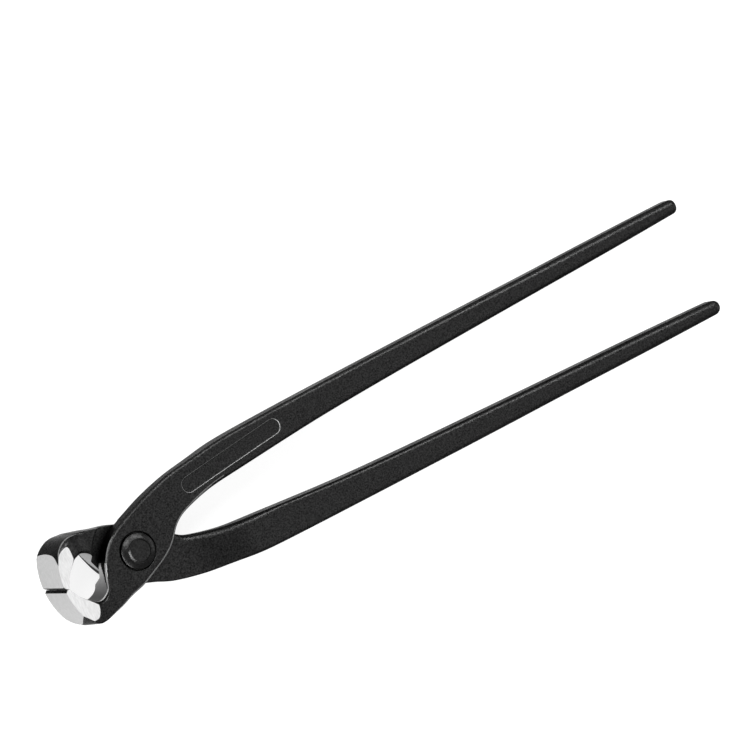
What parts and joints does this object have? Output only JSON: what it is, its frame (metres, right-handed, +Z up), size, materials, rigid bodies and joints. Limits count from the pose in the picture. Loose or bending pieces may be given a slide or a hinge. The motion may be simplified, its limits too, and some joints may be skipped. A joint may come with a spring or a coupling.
{
  "type": "rebar tying pliers",
  "caption": "Long-handled end-cutting pliers for twisting and nipping tie wire, forged in black steel with bright ground jaws.",
  "frame": {"origin": "under the middle of the closed pliers' length and width, on the table that the jaws' ground sides lie on", "axes": "+X towards the handles' ends, +Y towards the front limb's handle, +Z up along the pivot, towards the face with the long recess"},
  "size_m": [0.28, 0.0464, 0.0206],
  "materials": {
    "forged_steel": "black oxide on shot-blasted forged steel, bright where the jaws are ground",
    "rivet_steel": "black oxide on turned steel"
  },
  "bodies": {
    "back": {"back_limb": "forged_steel", "rivet": "rivet_steel"},
    "front": {"front_limb": "forged_steel"}
  },
  "joints": [
    {"name": "pivot", "type": "hinge", "parent": "back", "child": "front", "pos_m": [-0.11, 0, 0.0103], "axis": [0, 0, 1], "range_deg": [0, 50]}
  ]
}
